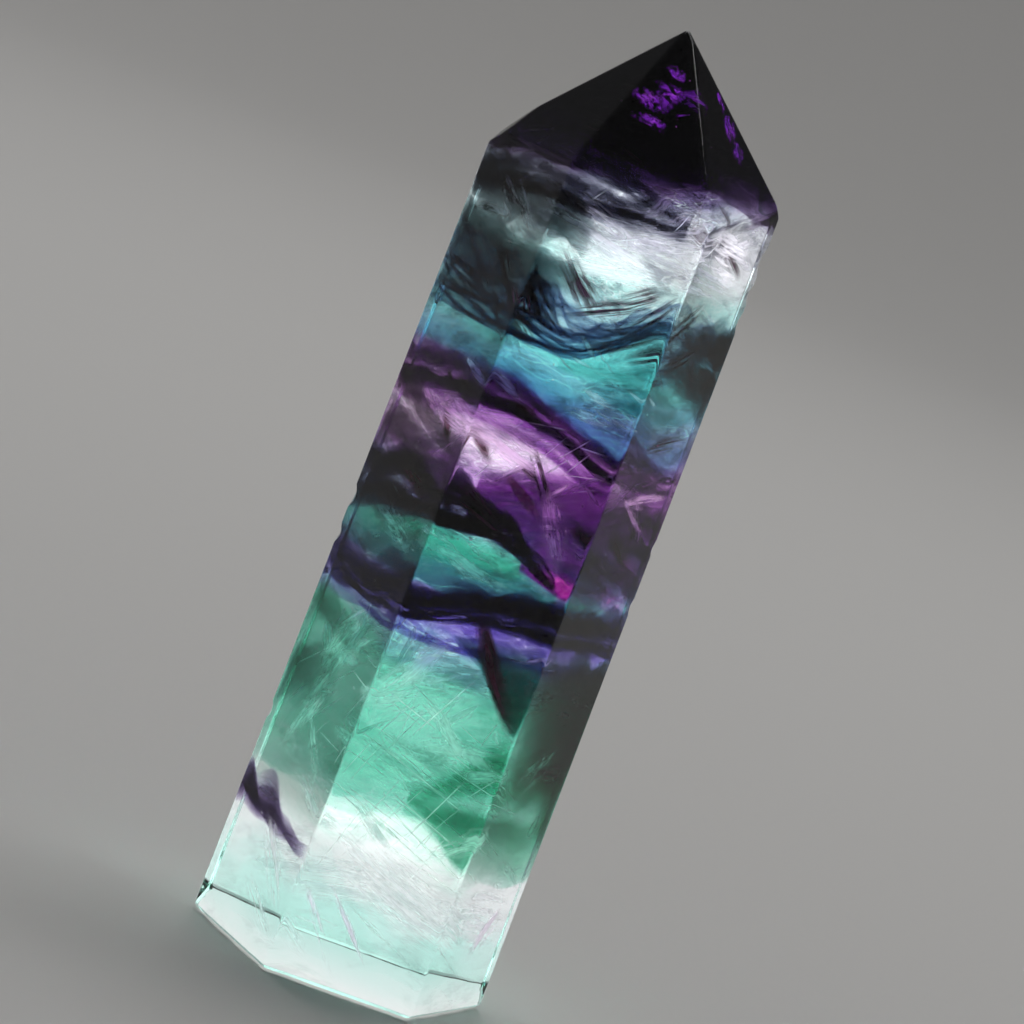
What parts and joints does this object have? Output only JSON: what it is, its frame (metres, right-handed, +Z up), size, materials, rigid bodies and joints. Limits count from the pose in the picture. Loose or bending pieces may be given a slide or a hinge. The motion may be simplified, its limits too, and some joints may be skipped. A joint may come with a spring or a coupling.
{
  "type": "fluorite point",
  "caption": "Polished point of banded violet and green fluorite: a hexagonal column of see-through crystal with a faceted tip, standing upright on a flat foot.",
  "frame": {"origin": "the point of the flat foot that lies on the column's axis", "axes": "+Z up along the column towards the tip, -Y out of the broad front side, +X to the right of that side"},
  "size_m": [0.029, 0.026, 0.0938],
  "materials": {
    "fluorite": "polished, see-through, banded in violet, turquoise and green"
  },
  "bodies": {
    "root": {"fluorite_point": "fluorite"}
  },
  "joints": []
}
